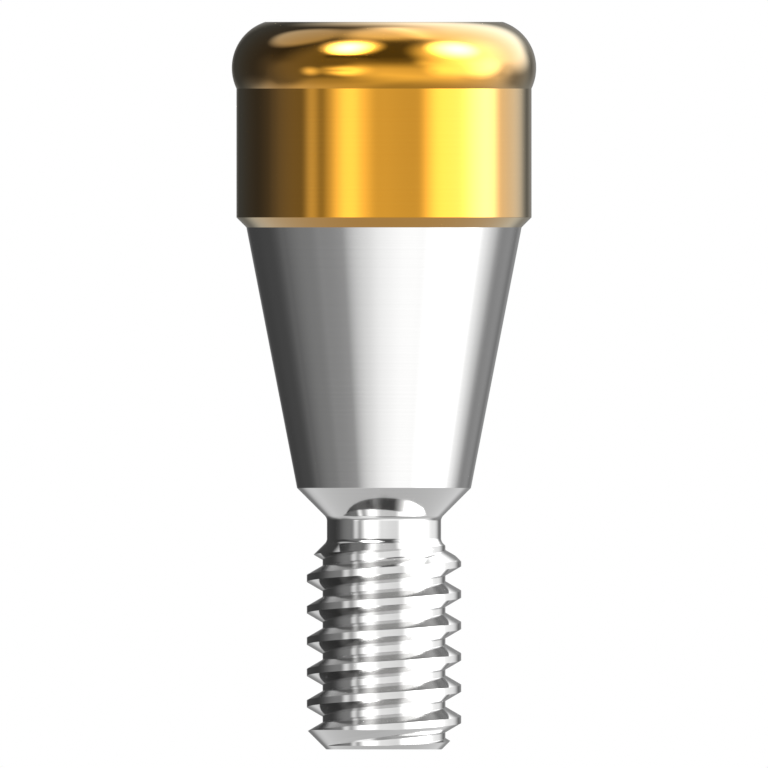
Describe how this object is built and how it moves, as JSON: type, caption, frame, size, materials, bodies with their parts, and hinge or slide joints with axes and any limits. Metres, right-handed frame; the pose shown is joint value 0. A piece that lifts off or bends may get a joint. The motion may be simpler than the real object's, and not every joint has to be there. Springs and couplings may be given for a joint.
{
  "type": "dental abutment",
  "caption": "Screw-in stud abutment for an implant overdenture: threaded shank, relief neck, seat cone, gold-coloured collar and rounded retention head with a drive socket.",
  "frame": {"origin": "centre of the thread's flat end face, on the turning axis", "axes": "+Z along the turning axis, from the thread's end face to the rim of the head; +X is where a thread crest lies 0.382 mm above the end face"},
  "size_m": [0.0038, 0.0038, 0.0093],
  "materials": {
    "polished_titanium": "polished"
  },
  "bodies": {
    "root": {"abutment_body": "polished_titanium"}
  },
  "joints": []
}
